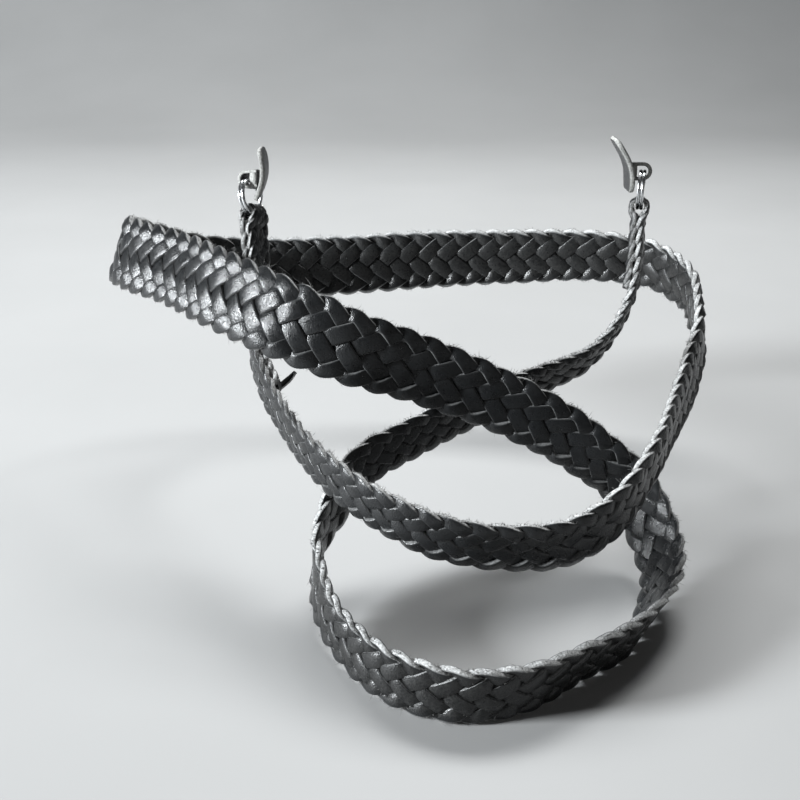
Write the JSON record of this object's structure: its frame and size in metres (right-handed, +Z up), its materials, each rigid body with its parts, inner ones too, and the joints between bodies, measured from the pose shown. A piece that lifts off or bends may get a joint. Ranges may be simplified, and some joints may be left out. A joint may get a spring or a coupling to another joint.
{
  "type": "braided camera strap",
  "caption": "Flat braided leather camera strap lying in loose coils, widest at its middle, each end folded over a split ring with a leather guard tab.",
  "frame": {"origin": "within 3 mm of half way between the tops of the two rings, where the strap hangs", "axes": "+X from the left ring to the right ring, +Y away from the front loops, +Z up"},
  "size_m": [0.2283, 0.2204, 0.1331],
  "materials": {
    "braid_leather": "black, soft sheen, raw fuzzy edges",
    "ring_steel": "bright plated steel",
    "guard_leather": "black, matt, pale cut edge"
  },
  "bodies": {
    "root": {"braided_strap": "braid_leather", "left_split_ring": "ring_steel", "right_split_ring": "ring_steel", "left_guard": "guard_leather", "right_guard": "guard_leather"}
  },
  "joints": []
}
